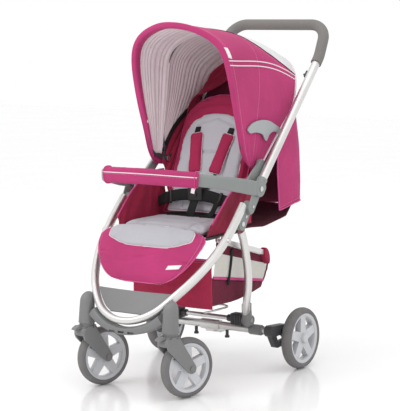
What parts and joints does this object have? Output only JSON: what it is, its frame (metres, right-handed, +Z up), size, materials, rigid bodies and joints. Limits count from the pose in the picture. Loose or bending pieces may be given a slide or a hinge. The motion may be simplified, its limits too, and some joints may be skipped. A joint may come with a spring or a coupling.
{
  "type": "baby stroller",
  "caption": "Folding baby stroller with a hooded padded seat, bumper bar, U handle, underseat basket, swivel front casters and a braked rear axle.",
  "frame": {"origin": "middle of the whole stroller's bounding box, on the floor", "axes": "+X child's left, -Y forwards, +Z up"},
  "size_m": [0.558, 0.9083, 1.071],
  "materials": {
    "frame_aluminium": "satin anodised",
    "grey_plastic": "fine texture",
    "bumper_plastic": "satin",
    "trim_plastic": "satin",
    "dark_plastic": "fine texture",
    "rim_plastic": "satin light grey",
    "tyre": "matte grey",
    "grip_foam": "matte foam",
    "steel": "satin",
    "fabric_magenta": "plain weave",
    "fabric_maroon": "plain weave",
    "fabric_grey": "brushed",
    "fabric_mesh": "open mesh",
    "webbing_black": "woven webbing"
  },
  "bodies": {
    "chassis": {"front_loop": "frame_aluminium", "caster_bridge": "grey_plastic", "footrest": "grey_plastic", "hinge_housings": "bumper_plastic", "pivot_pins": "steel", "hood_brackets": "dark_plastic", "seat_bars": "frame_aluminium", "frame_fasteners": "steel", "seat_board": "dark_plastic", "seat_cushion": "fabric_grey", "seat_sides": "fabric_maroon", "seat_cross_rods": "steel", "harness_webbing": "webbing_black", "buckle": "dark_plastic", "canopy": "fabric_magenta", "hood_bow_rear": "dark_plastic", "hood_crescents": "trim_plastic", "seat_shell": "fabric_magenta", "basket_tray": "fabric_maroon", "basket_front": "fabric_magenta", "basket_mesh": "fabric_mesh", "basket_straps": "webbing_black", "basket_wire": "steel", "bar_pockets": "fabric_magenta"},
    "push_frame": {"push_tubes": "frame_aluminium", "push_knuckles": "bumper_plastic", "handle_bar": "frame_aluminium", "handle_grip": "grip_foam"},
    "release": {"fold_release": "dark_plastic"},
    "bumper": {"bumper_bar": "bumper_plastic", "bumper_sleeve": "fabric_magenta"},
    "rear_legs": {"rear_legs": "frame_aluminium", "leg_feet": "grey_plastic", "rear_cross_tubes": "frame_aluminium", "axle_clamps": "grey_plastic", "wheel_brackets": "dark_plastic", "brake_boxes": "dark_plastic"},
    "brake": {"brake_pedal": "frame_aluminium"},
    "rear_wheel_near": {"rear_tyre_near": "tyre", "rear_rim_near": "rim_plastic"},
    "rear_wheel_far": {"rear_tyre_far": "tyre", "rear_rim_far": "rim_plastic"},
    "caster_near": {"caster_fork_near": "grey_plastic"},
    "caster_far": {"caster_fork_far": "grey_plastic"},
    "front_wheel_near": {"front_tyre_near": "tyre", "front_rim_near": "rim_plastic"},
    "front_wheel_far": {"front_tyre_far": "tyre", "front_rim_far": "rim_plastic"},
    "lock_near": {"swivel_lock_near": "grey_plastic"},
    "lock_far": {"swivel_lock_far": "grey_plastic"},
    "backrest": {"back_board": "dark_plastic", "back_surround": "fabric_magenta", "back_insert": "fabric_grey", "shoulder_pads": "fabric_magenta", "shoulder_straps": "webbing_black"},
    "calf_rest": {"calf_apron": "fabric_magenta", "calf_pad": "fabric_grey"},
    "hood_front": {"hood_bow_front": "dark_plastic"},
    "hood_mid": {"hood_bow_mid": "dark_plastic"},
    "button": {"buckle_button": "dark_plastic"}
  },
  "joints": [
    {"name": "frame_fold", "type": "hinge", "parent": "chassis", "child": "push_frame", "pos_m": [0, -0.0658, 0.58], "axis": [1, 0, 0], "range_deg": [0, 120]},
    {"name": "release_slide", "type": "slide", "parent": "push_frame", "child": "release", "axis": [0, 0.7338, 0.6794], "range_m": [0, 0.007], "stiffness_N_per_m": 250},
    {"name": "bumper_fold", "type": "hinge", "parent": "chassis", "child": "bumper", "pos_m": [0, -0.0658, 0.58], "axis": [1, 0, 0], "range_deg": [0, 20]},
    {"name": "leg_fold", "type": "hinge", "parent": "chassis", "child": "rear_legs", "pos_m": [0, -0.1318, 0.481], "axis": [-1, 0, 0], "range_deg": [0, 36]},
    {"name": "brake_press", "type": "hinge", "parent": "rear_legs", "child": "brake", "pos_m": [0, 0.0262, 0.131], "axis": [-1, 0, 0], "range_deg": [0, 20]},
    {"name": "rear_wheel_near_spin", "type": "hinge", "parent": "rear_legs", "child": "rear_wheel_near", "pos_m": [0.256, 0.1382, 0.095], "axis": [1, 0, 0], "continuous": true},
    {"name": "rear_wheel_far_spin", "type": "hinge", "parent": "rear_legs", "child": "rear_wheel_far", "pos_m": [-0.256, 0.1382, 0.095], "axis": [1, 0, 0], "continuous": true},
    {"name": "caster_near_swivel", "type": "hinge", "parent": "chassis", "child": "caster_near", "pos_m": [0.1515, -0.4058, 0.23], "axis": [0, 0, 1], "continuous": true},
    {"name": "caster_far_swivel", "type": "hinge", "parent": "chassis", "child": "caster_far", "pos_m": [-0.1515, -0.4058, 0.23], "axis": [0, 0, 1], "continuous": true},
    {"name": "front_wheel_near_spin", "type": "hinge", "parent": "caster_near", "child": "front_wheel_near", "pos_m": [0.16881, -0.35254, 0.0884], "axis": [0.9511, -0.309, 0], "continuous": true},
    {"name": "front_wheel_far_spin", "type": "hinge", "parent": "caster_far", "child": "front_wheel_far", "pos_m": [-0.1342, -0.35254, 0.0884], "axis": [0.9511, -0.309, 0], "continuous": true},
    {"name": "lock_near_press", "type": "hinge", "parent": "caster_near", "child": "lock_near", "pos_m": [0.14396, -0.42901, 0.1844], "axis": [0.9511, -0.309, 0], "range_deg": [0, 12]},
    {"name": "lock_far_press", "type": "hinge", "parent": "caster_far", "child": "lock_far", "pos_m": [-0.15904, -0.42901, 0.1844], "axis": [0.9511, -0.309, 0], "range_deg": [0, 12]},
    {"name": "backrest_recline", "type": "hinge", "parent": "chassis", "child": "backrest", "pos_m": [0, -0.0298, 0.466], "axis": [-1, 0, 0], "range_deg": [0, 15], "deforming": ["shoulder_straps"]},
    {"name": "calf_rest_lift", "type": "hinge", "parent": "chassis", "child": "calf_rest", "pos_m": [0, -0.2338, 0.446], "axis": [-1, 0, 0], "range_deg": [0, 10]},
    {"name": "hood_front_fold", "type": "hinge", "parent": "chassis", "child": "hood_front", "pos_m": [0, 0.0182, 0.645], "axis": [-1, 0, 0], "range_deg": [0, 50], "deforming": ["canopy"]},
    {"name": "hood_mid_fold", "type": "hinge", "parent": "chassis", "child": "hood_mid", "pos_m": [0, 0.0182, 0.645], "axis": [-1, 0, 0], "range_deg": [0, 25]},
    {"name": "button_press", "type": "slide", "parent": "chassis", "child": "button", "axis": [0, 1, 0], "range_m": [0, 0.002], "stiffness_N_per_m": 200}
  ],
  "couplings": [
    {"joint": "bumper_fold", "follows": "frame_fold", "ratio": 0.16667},
    {"joint": "leg_fold", "follows": "frame_fold", "ratio": 0.3},
    {"joint": "hood_mid_fold", "follows": "hood_front_fold", "ratio": 0.5}
  ]
}
